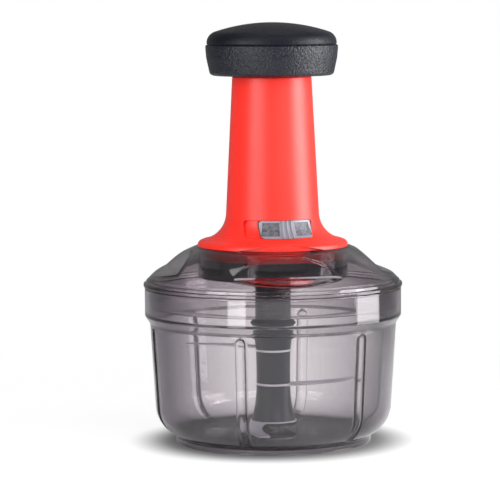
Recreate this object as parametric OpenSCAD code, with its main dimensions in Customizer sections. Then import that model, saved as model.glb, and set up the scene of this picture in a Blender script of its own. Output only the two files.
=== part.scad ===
// Plunger food chopper: a clear bowl with a smoky lid, a red tower on the lid, and a wide knob.
// Pushing the knob turns a twisted rod, and the rod turns three stacked blades in the bowl.
// The model stands on the bowl's foot ring. Z is up and the lock slider faces -Y.
// It is drawn with the plunger pushed down to its stop.

/* [Bowl] */
// Outer radius of the collar round the bowl's mouth
collar_r = 78.2; // [70:0.1:88]
// Height of the bowl's rim
rim_z = 95.2; // [84:0.1:106]
// How far the wall under the collar stands back from it
neck_in = 3.1; // [2.6:0.1:4]
// Height of the collar with the step under it
collar_h = 22.2; // [19:0.1:25]
// Height of the conical step from the wall out to the collar
collar_step = 4.8; // [4:0.1:7]
// Thickness of the collar's wall
collar_wall = 2.4; // [1.8:0.1:2.8]
// Lean of the wall from upright, in degrees
bowl_lean = 3.4; // [1:0.1:5]
// Thickness of the bowl's wall
bowl_wall = 2.5; // [1.8:0.1:3]
// Outer radius of the rounded corner at the bowl's bottom
bowl_corner_r = 20; // [14:0.5:24]
// Thickness of the bowl's floor
bowl_floor = 2.6; // [2:0.1:3.4]
// How far the foot ring stands in from the collar
foot_in = 18.7; // [16:0.1:24]
// Height of the hollow inside the foot ring
foot_recess = 3; // [1.5:0.1:3.4]
// Width of the foot ring
foot_w = 2.8; // [2:0.1:5]
// Number of flutes round the bowl
flute_count = 6; // [4:1:10]
// Width of a flute on the outside of the wall
flute_w = 6.4; // [4:0.1:8]
// Depth of a flute on the outside of the wall
flute_depth = 1.8; // [1:0.1:2]
// Height of the rib that a flute raises inside the bowl
flute_rib = 1.5; // [0.8:0.1:2]
// How far a flute's round top stays under the collar's step
flute_top_drop = 2.5; // [2:0.1:14]
// Turn of the first flute from +X, in degrees
flute_turn = 7; // [0:1:59]

/* [Lid] */
// How far the lid's flange stands out past the bowl's collar
flange_over = 0.7; // [0.3:0.1:2]
// Thickness of the flange at its edge
lid_flange_t = 2; // [1.5:0.1:3]
// How far in from the flange's edge the dome meets it
shoulder_in = 1.7; // [1:0.1:4]
// Wall of the lid's dome
lid_wall = 2.4; // [1.8:0.1:3]
// Height of the flat land round the tower, above the bowl's rim
lid_rise = 24.8; // [21:0.1:28]
// Outer radius of the flat land round the tower
lid_land_r = 46; // [42:0.1:52]
// Width of that land
land_w = 2.8; // [2.2:0.1:4]
// Drop of the dome from the land to its middle point, as a share of its whole drop
dome_mid_drop = 0.396; // [0.3:0.01:0.45]
// Depth of the lid's skirt inside the bowl's collar
skirt_depth = 12; // [8:0.5:14]
// Wall of the skirt
skirt_wall = 2; // [1.5:0.1:2.6]
// Wall of the tube that hangs from the opening
opening_wall = 2.4; // [1.6:0.1:2.6]
// Number of facets pressed into the dome
facet_count = 4; // [2:1:6]
// How far in from the shoulder a facet's crease lies
facet_in = 12.7; // [10:0.1:16]
// Drop of the crease from the land, as a share of the dome's whole drop
facet_drop = 0.627; // [0.55:0.01:0.68]
// Slope of the facet above its crease, in degrees from level
facet_slope = 51; // [46:1:60]
// Slope of the ledge below the crease, in degrees
ledge_slope = 16.5; // [12:0.5:18]

/* [Tower] */
// Height of the tower above the lid's land
tower_h = 102.9; // [90:0.1:118]
// Bore that guides the plunger's tube
bore_r = 21.3; // [19:0.1:24]
// Wall of the tower at its top
top_wall = 2.8; // [2.2:0.1:4]
// How much wider than the bore the chamber at its foot is
chamber_step = 3.2; // [2.6:0.1:4]
// Wall of the tower round that chamber
low_wall = 3.8; // [3.4:0.1:5]
// Height of the flare's lowest point above the land
flare_rise = 3.4; // [2.6:0.1:4.4]
// Radius of the rounded lip of the flare
lip_r = 2.9; // [2:0.1:3.2]
// Wall of the flare, the spigot and the base cover
shell_wall = 2.6; // [2:0.1:3]
// Depth of the red spigot inside the lid's tube
spigot_depth = 8; // [5:0.5:9]
// Height of the arch in the lip, front and back
arch_rise = 3.4; // [2:0.1:3.6]
// Width of that arch
arch_w = 52; // [40:1:60]
// Number of screws through the base cover
screw_count = 3; // [2:1:6]
// How far in from the spigot's face these screws stand
screw_in = 9; // [8.4:0.1:10]

/* [Lock] */
// Height of the lower edge of the lock's slot above the lid's land
slot_rise = 6.6; // [6:0.1:8]
// Height of the slot
slot_h = 10.7; // [9.6:0.1:12.4]
// Half the angle that the slot spans, in degrees
slot_half = 42.5; // [40:0.5:45]
// Half the angle that the slider spans, in degrees
slider_half = 32; // [28:0.5:33]
// Depth of the slot in the tower's wall
slot_depth = 2; // [1.4:0.1:2.1]
// Travel of the slider, in degrees from one end of its slot to the other
lock_travel = 17.4; // [12:0.2:17.6]
// How far the slider stands out of the tower
slider_proud = 0.7; // [0.3:0.1:1.2]
// How far the ribs at the slider's middle stand out of its face
rib_proud = 1.2; // [0.6:0.1:1.6]

/* [Plunger] */
// Stroke of the plunger
stroke = 60; // [40:1:68]
// Height of the knob from its flat underside to its crown
knob_h = 32.1; // [29:0.1:36]
// Largest radius of the knob
knob_r = 40.2; // [36:0.1:45]
// Height of the knob's lower shell
knob_body_h = 18.5; // [16.5:0.1:21]
// Radius of the knob's domed crown
crown_r = 110; // [90:1:140]
// Radius of the round edge between the knob's side and its crown
knob_edge_r = 7.4; // [6:0.1:9]
// Wall of the knob's shells
knob_wall = 2.6; // [2:0.1:3]
// Depth of the groove at the seam between the shells
seam_depth = 0.5; // [0.3:0.1:0.8]
// Wall of the plunger's tube
tube_wall = 2.2; // [1.8:0.1:2.6]
// Height of the tube's lower end above the lid's land
tube_rise = 2; // [0.5:0.5:6]
// Height of the nut's seat above the lid's land
nut_rise = 30; // [26:0.5:34]
// Height of the nut
nut_h = 8; // [6:0.5:10]

/* [Drive] */
// Rise of the twisted rod in one turn
rod_lead = 60; // [50:1:90]
// Width of the rod's twisted strip
strip_w = 12; // [9:0.1:13]
// Thickness of the strip
strip_t = 2.6; // [2:0.1:3.4]
// Radius of the rod's round journal
journal_r = 4; // [3.4:0.1:4.6]
// Outer radius of the socket that hangs below the lid
socket_r = 10.9; // [10.4:0.1:12]
// How far the socket hangs below the base cover
socket_drop = 24.1; // [21:0.1:27]
// Corner radius of the six-sided drive dog
dog_r = 7.2; // [6:0.1:7.6]
// Height of the drive dog
dog_h = 12; // [8:0.5:14]
// Number of teeth on the one-way clutch
tooth_count = 8; // [6:1:9]
// Height of a clutch tooth
tooth_h = 1.5; // [1:0.1:1.6]
// Mean radius of the return spring
spring_r = 15; // [14:0.1:15.8]
// Thickness of the spring's wire
spring_wire = 2; // [1.4:0.1:2.2]
// Number of turns of the spring
spring_turns = 9; // [6:1:11]

/* [Blades] */
// Radius of the column at its shoulder
column_top_r = 13.9; // [12.5:0.1:14.5]
// Radius of the column where it meets the socket
column_neck_r = 11.2; // [10.6:0.1:12]
// Radius of the column at its waist
column_waist_r = 10.3; // [9:0.1:11]
// Radius of the column's foot
column_foot_r = 13.8; // [12:0.1:15]
// Thickness of a blade
blade_t = 1.2; // [0.8:0.1:1.6]
// How far the upper blade lies below the column's shoulder
blade_upper_drop = 21.1; // [18:0.1:24]
// How far the middle blade lies below the column's shoulder
blade_middle_drop = 41.9; // [36:0.1:46]
// Height of the lower blade above the bowl's floor
blade_floor_gap = 5.8; // [5.4:0.1:9]
// Gap from the blades' tips to the ribs in the bowl
blade_gap = 3.4; // [2:0.1:8]
// Width of the ground edge
bevel_w = 2.4; // [1:0.1:3]
// Radius of the pivot pin in the bowl
pin_r = 2.5; // [2:0.1:3]
// How far the pin's top stays below the column's shoulder
pin_drop = 14.3; // [10:0.1:20]
// Wall of the sleeve that turns on the pin
sleeve_wall = 2.4; // [1.6:0.1:3]

/* [Hidden] */
$fn = 96;
eps = 0.01;

// Clearances
fit = 0.1;            // a shaft in its bore
snug = 0.05;          // a fixed piece in its seat
seat = 0.3;           // between bodies that rest on each other
play = 0.3;           // sideways, between pieces that slide past each other
arc_steps = 10;       // flats along a profile's arc
beyond = 2 * (collar_r + flange_over);   // a length that clears the whole object

// Bowl
bowl_neck_r = collar_r - neck_in;
bowl_neck_z = rim_z - collar_h;
flute_top_z = bowl_neck_z - flute_top_drop;
foot_r = collar_r - foot_in;
floor_top = foot_recess + bowl_floor;
corner_in = bowl_corner_r - bowl_wall;
corner_z = floor_top + corner_in;
tangent_z = corner_z - bowl_corner_r * sin(bowl_lean);
corner_n = bowl_neck_r - (bowl_neck_z - tangent_z) * tan(bowl_lean) - bowl_corner_r * cos(bowl_lean);
foot_angle = acos((foot_r - corner_n) / bowl_corner_r);
foot_top_z = corner_z - bowl_corner_r * sin(foot_angle);
collar_in_r = collar_r - collar_wall;
collar_floor_t = 1.8;
collar_floor_z = bowl_neck_z + collar_step + collar_floor_t;
rim_edge = 0.6;
rib_over = 1.8;
boss_wall = 4.5;
boss_r = pin_r + boss_wall;
pin_seat_z = foot_recess + 0.8;
pin_edge = 0.8;
corner_steps = 8;

// Lid
flange_z = rim_z + 0.2;
land_z = rim_z + lid_rise;
shoulder_h = 1.4;
shoulder_z = flange_z + lid_flange_t + shoulder_h;
dome_h = land_z - shoulder_z;
lid_flange_r = collar_r + flange_over;
lid_shoulder_r = lid_flange_r - shoulder_in;
opening_r = lid_land_r - land_w;
skirt_r = collar_in_r - play;
skirt_low_z = flange_z - skirt_depth;
tube_out_r = opening_r + opening_wall;
dome_bulge = 4.9;
dome_mid_r = (lid_land_r + lid_shoulder_r) / 2 + dome_bulge;
facet_n = lid_shoulder_r - facet_in;
crease_z = land_z - facet_drop * dome_h;

// Tower and base cover
tower_top_z = land_z + tower_h;
tower_top_r = bore_r + top_wall;
chamber_r = bore_r + chamber_step;
tower_low_r = chamber_r + low_wall;
spigot_r = opening_r - 0.2;
spigot_low_z = land_z - spigot_depth;
flare_in = 1;
flare_n = lid_land_r - flare_in;
flare_r = flare_n - tower_low_r;
flare_z = land_z + flare_rise + flare_r;
taper = (tower_low_r - tower_top_r) / (tower_top_z - flare_z);
deck_t = 3;
deck_z = spigot_low_z + deck_t;
deck_top_z = deck_z + deck_t;
inner_wall_r = chamber_r + shell_wall;
cover_drop = 19.3;
cover_z = land_z - cover_drop;
cover_top_z = cover_z + shell_wall;
cover_hole_r = socket_r + play;
screw_ring_r = spigot_r - screw_in;
screw_turn = 30;

// Screws
screw_r = 1.5;
screw_head_r = 3.2;
screw_head_t = 1.2;
cross_w = 0.8;
boss_out_r = 4;
base_screw_l = 12;
knob_screw_l = 10;

// Drive
socket_flange_z = cover_top_z + seat;
socket_flange_t = 2;
socket_flange_r = socket_r + 3.1;
socket_top_z = socket_flange_z + socket_flange_t;
socket_low_z = cover_z - socket_drop;
tooth_w = 5.2;
tooth_l = 5;
tooth_out = socket_flange_r - 1;
tooth_root = 0.5;
driver_t = 3.6;
driver_z = socket_top_z + tooth_h + seat;
rod_low_z = socket_top_z + 0.7;
rod_collar_z = driver_z + driver_t;
rod_collar_r = journal_r + 2.5;
rod_collar_t = 1.4;
bush_r = journal_r + 4;
bush_flange_r = journal_r + 6.5;
bush_flange_t = 1.2;
bush_z = rod_collar_z + rod_collar_t + seat;
bush_top_z = deck_top_z + bush_flange_t;
clip_t = 0.8;
clip_r = journal_r + 3;
clip_mouth = 3.2;
strip_z = bush_top_z + 2 * clip_t;

// Plunger
tube_low_z = land_z + tube_rise;
nut_z = land_z + nut_rise;
rod_top_z = nut_z + nut_h + stroke + 2;
tube_r = bore_r - fit;
tube_step = 1.2;
tube_in_r = tube_r - tube_wall + 1;
knob_z = tower_top_z + seat;
seam_z = knob_z + knob_body_h;
knob_top_z = knob_z + knob_h;
knob_floor_z = knob_z + knob_wall;
cap_in = 0.7;
cap_lip_w = 1.8;
cap_lip_h = 3.4;
body_taper = 2.2;
body_edge = 3;
body_in_r = knob_r - 0.7 - knob_wall;
tube_flange_t = 3;
tube_flange_z = knob_floor_z + 7.6;
knob_screw_ring_r = bore_r + 4.9;
tube_flange_r = knob_screw_ring_r + boss_out_r;
nut_ring_w = 2.4;
nut_ring_t = 1.2;

// Lock, in degrees from -Y towards +X
lock_turn = lock_travel / 2;
stem_half = 6;
stem_h = 4;
catch_half = 13;
catch_h = 8;
slot_z = land_z + slot_rise;
slot_corner = 2.2;
catch_z = slot_z + slot_h / 2;

// Blade column
column_z = socket_low_z - seat;
blade_upper_z = column_z - blade_upper_drop;
blade_middle_z = column_z - blade_middle_drop;
blade_lower_z = floor_top + blade_floor_gap;
boss_top_z = blade_lower_z - 2.4;
shoulder_t = 3.8;
foot_taper = 24;
sleeve_in_r = pin_r + fit;
sleeve_r = sleeve_in_r + sleeve_wall;
column_in_r = sleeve_r + snug;
column_low_z = boss_top_z + seat;
sleeve_top_z = column_z - shoulder_t;
pin_top_z = column_z - pin_drop;
ring_lip = 0.3;
wall_at_middle = bowl_neck_r - bowl_wall - (bowl_neck_z - blade_middle_z) * tan(bowl_lean);
wall_at_lower = corner_n + sqrt(pow(corner_in, 2) - pow(corner_z - blade_lower_z, 2));
blade_reach = wall_at_middle - flute_rib - blade_gap;
lower_reach = wall_at_lower - flute_rib - blade_gap;

function arc(n, z, r, from, to, steps = arc_steps) =
    [for (i = [0:steps]) let (a = from + (to - from) * i / steps) [n + r * cos(a), z + r * sin(a)]];

// Centre of the circle through three points
function circle_through(a, b, c) =
    let (d = 2 * (a.x * (b.y - c.y) + b.x * (c.y - a.y) + c.x * (a.y - b.y)),
         p = a * a, q = b * b, s = c * c)
    [(p * (b.y - c.y) + q * (c.y - a.y) + s * (a.y - b.y)) / d,
     (p * (c.x - b.x) + q * (a.x - c.x) + s * (b.x - a.x)) / d];

// Outer radius of the tower at a height on its flare or above it
function tower_r(z) = z >= flare_z ? tower_low_r - (z - flare_z) * taper
                                   : flare_n - sqrt(max(0, pow(flare_r, 2) - pow(flare_z - z, 2)));

// Height of the flare's inner face at a radius
function flare_underside(r) = flare_z - sqrt(pow(flare_r + shell_wall, 2) - pow(flare_n - r, 2));

// Radius of the blade column at a height: a waist between two wide ends
function column_r(z) =
    let (low = column_foot_r - column_waist_r, high = column_top_r - column_waist_r,
         waist_low = blade_lower_z + foot_taper, waist_high = blade_middle_z)
    column_waist_r + low * pow(max(0, (waist_low - z) / foot_taper), 2)
                   + high * pow(max(0, (z - waist_high) / (sleeve_top_z - waist_high)), 4);

module revolve(points) {
    rotate_extrude() polygon(points);
}

module ring(outer, inner, z, h) {
    translate([0, 0, z]) difference() {
        cylinder(r = outer, h = h);
        translate([0, 0, -eps]) cylinder(r = inner, h = h + 2 * eps);
    }
}

// A profile turned about the axis between two angles, counted from -Y towards +X
module sector(points, from, to) {
    rotate([0, 0, -90 + from]) rotate_extrude(angle = to - from) polygon(points);
}

// A block standing on the slot's face, with rounded corners, seen from the front
module front_window(half_w, z, h, round) {
    translate([0, 0, z + h / 2]) rotate([90, 0, 0]) linear_extrude(beyond) {
        square([2 * half_w - 2 * round, h], center = true);
        square([2 * half_w, h - 2 * round], center = true);
        for (x = [-1, 1], y = [-1, 1])
            translate([x * (half_w - round), y * (h / 2 - round)]) circle(r = round);
    }
}

// ---- Bowl ----

// Upright bars that stand out from the axis, round at the top, one for each flute
module flute_bars(w) {
    for (i = [0:flute_count - 1]) rotate([0, 0, flute_turn + i * 360 / flute_count])
        translate([corner_n - bowl_corner_r / 2, 0, 0]) rotate([90, 0, 90]) linear_extrude(beyond) {
            translate([-w / 2, foot_top_z]) square([w, flute_top_z - flute_w / 2 - foot_top_z]);
            translate([0, flute_top_z - flute_w / 2]) circle(d = w);
        }
}

// The wall's outer face from the foot ring to the neck, moved inwards by a depth
function wall_face(depth) = concat(
    arc(corner_n, corner_z, bowl_corner_r - depth, -foot_angle, -bowl_lean, corner_steps),
    [[bowl_neck_r - depth / cos(bowl_lean), bowl_neck_z]]);

module bowl_outside() {
    revolve(concat([[0, foot_recess], [foot_r, foot_recess], [foot_r, foot_top_z]], wall_face(0),
                   [[collar_r, bowl_neck_z + collar_step],
                    [collar_r, rim_z - rim_edge], [collar_r - rim_edge, rim_z], [0, rim_z]]));
}

// The bowl's hollow, with its wall moved inwards where a flute's rib stands
module bowl_inside(rib) {
    wall_in = bowl_neck_r - bowl_wall;
    revolve(concat([[0, floor_top]],
                   [for (p = arc(corner_n, corner_z, corner_in, -90, -bowl_lean, corner_steps)) [p.x - rib, p.y]],
                   [[wall_in - rib, bowl_neck_z], [wall_in - rib, collar_floor_z - collar_wall],
                    [collar_in_r, collar_floor_z], [collar_in_r, rim_z + 1], [0, rim_z + 1]]));
}

module flute_grooves() {
    difference() {
        flute_bars(flute_w);
        revolve(concat([[0, 0], [corner_n, 0]], wall_face(flute_depth), [[0, bowl_neck_z]]));
    }
}

module bowl() {
    color("lightsteelblue") difference() {
        union() {
            difference() {
                bowl_outside();
                bowl_inside(0);
            }
            intersection() {
                flute_bars(flute_w + rib_over);
                difference() {
                    bowl_outside();
                    bowl_inside(flute_rib);
                }
            }
            ring(foot_r, foot_r - foot_w, 0, foot_top_z);
            cylinder(r = boss_r, h = boss_top_z);
        }
        flute_grooves();
        translate([0, 0, -eps]) cylinder(r = foot_r - foot_w, h = foot_recess + eps);
        translate([0, 0, pin_seat_z]) cylinder(r = pin_r + snug, h = boss_top_z);
    }
}

module bowl_pin() {
    color("silver") {
        translate([0, 0, pin_seat_z]) cylinder(r = pin_r, h = pin_top_z - pin_edge - pin_seat_z);
        translate([0, 0, pin_top_z - pin_edge - eps]) cylinder(r1 = pin_r, r2 = pin_r - pin_edge, h = pin_edge);
    }
}

// ---- Lid ----

dome_top = [lid_land_r, land_z];
dome_mid = [dome_mid_r, land_z - dome_mid_drop * dome_h];
dome_low = [lid_shoulder_r, shoulder_z];
dome_centre = circle_through(dome_top, dome_mid, dome_low);
dome_r = norm(dome_top - dome_centre);
function dome_angle(point) = atan2(point.y - dome_centre.y, point.x - dome_centre.x);

// Points on the dome from the flange up, shifted inwards by a wall
function dome_arc(wall, low) =
    let (r = dome_r - wall, top = acos((lid_land_r - dome_centre.x) / r))
    arc(dome_centre.x, dome_centre.y, r, dome_angle(low), top, 14);

// What one pressed facet takes from the dome: a steep face above the crease and a ledge below it
module facet_wedge(wall) {
    face = [sin(facet_slope), cos(facet_slope)];
    ledge = [sin(ledge_slope), cos(ledge_slope)];
    crease = [facet_n, crease_z] - wall * (face + ledge) / (1 + face * ledge);
    up = dome_h;
    out = 2 * facet_in;
    for (i = [0:facet_count - 1]) rotate([0, 0, -90 + i * 360 / facet_count])
        rotate([90, 0, 0]) linear_extrude(beyond, center = true)
            polygon([crease,
                     crease + [out, -out * tan(ledge_slope)],
                     crease + [out, up],
                     crease + [-up / tan(facet_slope), up]]);
}

module lid_outside() {
    revolve(concat([[0, flange_z], [lid_flange_r, flange_z], [lid_flange_r, flange_z + lid_flange_t]],
                   dome_arc(0, dome_low), [[0, land_z]]));
}

module lid_inside() {
    in_r = skirt_r - skirt_wall;
    low = [in_r, shoulder_z - 0.6];
    difference() {
        revolve(concat([[0, flange_z - 1], [in_r, flange_z - 1]], dome_arc(lid_wall, low),
                       [[0, dome_centre.y + (dome_r - lid_wall) * sin(acos((lid_land_r - dome_centre.x)
                                                                          / (dome_r - lid_wall)))]]));
        facet_wedge(lid_wall);
    }
}

module lid() {
    color("slategray") difference() {
        union() {
            difference() {
                lid_outside();
                facet_wedge(0);
                lid_inside();
            }
            ring(skirt_r, skirt_r - skirt_wall, skirt_low_z, flange_z - skirt_low_z + 1);
            ring(tube_out_r, opening_r, cover_z, land_z - cover_z);
        }
        translate([0, 0, skirt_low_z - 1]) cylinder(r = opening_r, h = land_z);
    }
}

// ---- Tower ----

module tower_solid() {
    lip_n = lid_land_r - 0.2 - lip_r;
    lip_z = land_z + 0.4;
    difference() {
        revolve(concat([[0, spigot_low_z], [spigot_r, spigot_low_z], [spigot_r, land_z], [lip_n + lip_r, land_z]],
                       arc(lip_n, lip_z, lip_r, 0, 80, 6),
                       arc(flare_n, flare_z, flare_r, 262, 180),
                       [[tower_top_r, tower_top_z - 0.8], [tower_top_r - 0.8, tower_top_z], [0, tower_top_z]]));
        lip_arch();
    }
}

// The low arch in the lip, front and back, which leaves the spigot whole
module lip_arch() {
    arch_r = (pow(arch_w / 2, 2) + pow(arch_rise, 2)) / (2 * arch_rise);
    difference() {
        translate([0, 0, land_z + arch_rise - arch_r]) rotate([90, 0, 0])
            cylinder(r = arch_r, h = beyond, center = true, $fn = 160);
        cylinder(r = spigot_r, h = 2 * land_z);
        translate([0, 0, -eps]) cylinder(r = beyond, h = land_z - 1);
    }
}

module tower_hollow() {
    low = spigot_low_z - 1;
    rim = spigot_r - shell_wall;
    top = slot_z - shell_wall;
    revolve([[0, low], [rim, low], [rim, flare_underside(rim)],
             [rim - 2 * shell_wall, min(top, flare_underside(rim - 2 * shell_wall))],
             [inner_wall_r + shell_wall / 2, top], [inner_wall_r, top], [inner_wall_r, deck_z],
             [0, deck_z]]);
    revolve([[0, deck_top_z], [chamber_r, deck_top_z], [chamber_r, flare_z + 1],
             [bore_r, flare_z + 1 + chamber_r - bore_r], [bore_r, tower_top_z + 1], [0, tower_top_z + 1]]);
    cylinder(r = bush_r + snug, h = deck_top_z + 1);
}

module slot_cut() {
    half_w = tower_r(slot_z + slot_h / 2) * sin(slot_half);
    intersection() {
        revolve(concat([for (i = [0:arc_steps]) let (z = slot_z - 1 + (slot_h + 2) * i / arc_steps)
                            [tower_r(z) - slot_depth, z]],
                       [[beyond, slot_z + slot_h + 1], [beyond, slot_z - 1]]));
        front_window(half_w, slot_z, slot_h, slot_corner);
    }
}

module tower() {
    slit_half = lock_turn + stem_half + 1;
    slit_in = bore_r + 1;
    color("orangered") difference() {
        union() {
            difference() {
                tower_solid();
                tower_hollow();
                slot_cut();
                sector([[slit_in, catch_z - stem_h / 2 - play], [beyond, catch_z - stem_h / 2 - play],
                        [beyond, catch_z + stem_h / 2 + play], [slit_in, catch_z + stem_h / 2 + play]],
                       -slit_half, slit_half);
            }
            base_screw_places(cover_top_z + snug) cylinder(r = boss_out_r, h = land_z + 3 - cover_top_z);
        }
        base_screw_places(cover_z) cylinder(r = screw_r + snug, h = base_screw_l + 2);
    }
}

module base_screw_places(z) {
    for (i = [0:screw_count - 1]) rotate([0, 0, screw_turn + i * 360 / screw_count])
        translate([screw_ring_r, 0, z]) children();
}

module base_cover() {
    color("darkslategray") difference() {
        translate([0, 0, cover_z]) cylinder(r = spigot_r, h = spigot_low_z - cover_z - snug);
        translate([0, 0, cover_top_z]) cylinder(r = spigot_r - shell_wall, h = spigot_low_z);
        translate([0, 0, cover_z - eps]) cylinder(r = cover_hole_r, h = shell_wall + 2 * eps);
        base_screw_places(cover_z - eps) {
            cylinder(r = screw_r + snug, h = shell_wall + 1);
            cylinder(r = screw_head_r + 0.2, h = screw_head_t + 0.1);
        }
    }
}

// A pan-head screw that points up, with a cross in its head
module screw(length) {
    difference() {
        cylinder(r = screw_head_r, h = screw_head_t);
        for (a = [0, 90]) rotate([0, 0, a]) cube([screw_head_r + 0.2, cross_w, screw_head_t], center = true);
    }
    cylinder(r = screw_r, h = length);
}

module base_screws() {
    color("silver") base_screw_places(cover_z + snug) screw(base_screw_l);
}

module rod_bush() {
    color("ivory") {
        ring(bush_r, journal_r + fit, bush_z, deck_top_z - bush_z + eps);
        ring(bush_flange_r, journal_r + fit, deck_top_z, bush_flange_t);
    }
}

// ---- Plunger ----

module knob_cap() {
    side_r = knob_r - cap_in;
    edge_n = side_r - knob_edge_r;
    crown_z = knob_top_z - crown_r;
    crown_from = acos(edge_n / (crown_r - knob_edge_r));
    edge_z = crown_z + (crown_r - knob_edge_r) * sin(crown_from);
    edge_from = asin(max(0, (seam_z + seam_depth - edge_z) / knob_edge_r));
    inner_r = knob_edge_r - knob_wall;
    inner_to = asin(max(0, (seam_z - edge_z) / inner_r));
    color("darkslateblue") {
        revolve(concat([[side_r - knob_wall, seam_z], [side_r - seam_depth, seam_z]],
                       arc(edge_n, edge_z, knob_edge_r, edge_from, crown_from - 1),
                       arc(0, crown_z, crown_r, crown_from, 90),
                       arc(0, crown_z, crown_r - knob_wall, 90, crown_from),
                       arc(edge_n, edge_z, inner_r, crown_from - 2, inner_to)));
        ring(body_in_r - fit, body_in_r - fit - cap_lip_w, seam_z - cap_lip_h, cap_lip_h + knob_wall);
    }
}

module knob_body() {
    low_r = knob_r - body_taper;
    belly_z = knob_z + knob_body_h * 0.58;
    color("midnightblue") difference() {
        union() {
            difference() {
                revolve(concat([[0, knob_z]], arc(low_r - body_edge, knob_z + body_edge, body_edge, -90, -20, 6),
                               [[knob_r - 0.5, belly_z], [knob_r, seam_z - body_taper],
                                [knob_r, seam_z - seam_depth], [knob_r - seam_depth, seam_z], [0, seam_z]]));
                revolve([[0, knob_floor_z], [low_r - knob_wall - body_edge / 5, knob_floor_z],
                         [body_in_r, belly_z], [body_in_r, seam_z + 1], [0, seam_z + 1]]);
            }
            knob_screw_places() cylinder(r = boss_out_r, h = tube_flange_z - knob_z);
        }
        translate([0, 0, knob_z - eps]) cylinder(r = bore_r, h = knob_wall + 2 * eps);
        knob_screw_places() translate([0, 0, knob_wall / 2]) cylinder(r = screw_r + snug, h = knob_body_h);
    }
}

module knob_screw_places() {
    for (i = [0:screw_count - 1]) rotate([0, 0, 90 + i * 360 / screw_count])
        translate([knob_screw_ring_r, 0, knob_z]) children();
}

module knob_screws() {
    color("silver") knob_screw_places()
        translate([0, 0, tube_flange_z + tube_flange_t + screw_head_t - knob_z])
            rotate([180, 0, 0]) screw(knob_screw_l);
}

module plunger_tube() {
    window_w = 2 * tube_r * sin(catch_half + 4);
    color("firebrick") difference() {
        union() {
            translate([0, 0, tube_low_z]) cylinder(r = tube_r, h = tube_flange_z - tube_low_z + eps);
            translate([0, 0, tube_flange_z]) cylinder(r = tube_flange_r, h = tube_flange_t);
        }
        translate([0, 0, tube_low_z - eps]) cylinder(r = tube_in_r - tube_step, h = stroke * 3);
        translate([0, 0, nut_z]) cylinder(r = tube_in_r, h = stroke * 3);
        knob_screw_places() cylinder(r = screw_r + 0.2, h = knob_h);
        translate([-window_w / 2, -tube_r - 1, catch_z - stem_h / 2 - 1])
            cube([window_w, 3 * tube_wall, stem_h + 2]);
    }
}

// The strip's section, turned as it rises, so that a rising nut turns the rod forwards
module twisted_strip(w, t, z, h) {
    translate([0, 0, z]) rotate([0, 0, -360 * z / rod_lead])
        linear_extrude(h, twist = 360 * h / rod_lead, slices = ceil(h * 72 / rod_lead), segments = 12)
            square([w, t], center = true);
}

module drive_nut() {
    color("ivory") difference() {
        translate([0, 0, nut_z]) cylinder(r = tube_in_r - snug, h = nut_h);
        twisted_strip(strip_w + 2 * play, strip_t + 2 * play, nut_z - 1, nut_h + 2);
    }
}

// The split ring that keeps the nut on its seat
module nut_ring() {
    color("silver") difference() {
        ring(tube_in_r - snug, tube_in_r - nut_ring_w, nut_z + nut_h, nut_ring_t);
        translate([0, -nut_ring_w, nut_z]) cube([tube_r, 2 * nut_ring_w, 2 * nut_h]);
    }
}

module return_spring() {
    rings_per_turn = 16;
    sides = 6;
    r = spring_wire / 2;
    low = deck_top_z + r;
    rise = nut_z - 2 * r - deck_top_z;
    rings = spring_turns * rings_per_turn;
    color("silver") polyhedron(
        points = [for (i = [0:rings], k = [0:sides - 1])
                      let (a = 360 * i / rings_per_turn, b = 360 * k / sides,
                           n = spring_r + r * cos(b))
                      [n * cos(a), n * sin(a), low + rise * i / rings + r * sin(b)]],
        faces = concat([[for (k = [0:sides - 1]) k]],
                       [[for (k = [0:sides - 1]) rings * sides + sides - 1 - k]],
                       [for (i = [0:rings - 1], k = [0:sides - 1])
                            let (m = (k + 1) % sides)
                            [i * sides + k, (i + 1) * sides + k, (i + 1) * sides + m]],
                       [for (i = [0:rings - 1], k = [0:sides - 1])
                            let (m = (k + 1) % sides)
                            [i * sides + k, (i + 1) * sides + m, i * sides + m]]));
}

// ---- Drive ----

module drive_rod() {
    color("lightgray") {
        translate([0, 0, rod_low_z]) cylinder(r = journal_r, h = strip_z - rod_low_z + 0.5);
        translate([0, 0, rod_collar_z]) cylinder(r = rod_collar_r, h = rod_collar_t);
        twisted_strip(strip_w, strip_t, strip_z, rod_top_z - strip_z);
    }
}

// One saw tooth, standing at the angle 0 on the side of +X, with its steep face towards +Y
module saw_tooth(points) {
    translate([tooth_out - tooth_l, 0, 0]) rotate([90, 0, 90]) linear_extrude(tooth_l) polygon(points);
}

module clutch_driver() {
    color("dimgray") {
        ring(socket_flange_r - 0.4, journal_r + snug, driver_z, rod_collar_z - driver_z);
        for (i = [0:tooth_count - 1]) rotate([0, 0, i * 360 / tooth_count])
            translate([0, 0, driver_z - tooth_h])
                saw_tooth([[-tooth_w / 2, 0], [tooth_w / 2, tooth_h], [tooth_w / 2, tooth_h + tooth_root],
                           [-tooth_w / 2, tooth_h + tooth_root]]);
    }
}

// The spring clip that keeps the rod's collar up against its bush
module rod_clip() {
    color("silver") difference() {
        ring(clip_r, journal_r + snug, bush_top_z + seat / 2, clip_t);
        translate([0, -clip_mouth / 2, bush_top_z]) cube([2 * clip_r, clip_mouth, 3 * clip_t]);
    }
}

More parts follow.
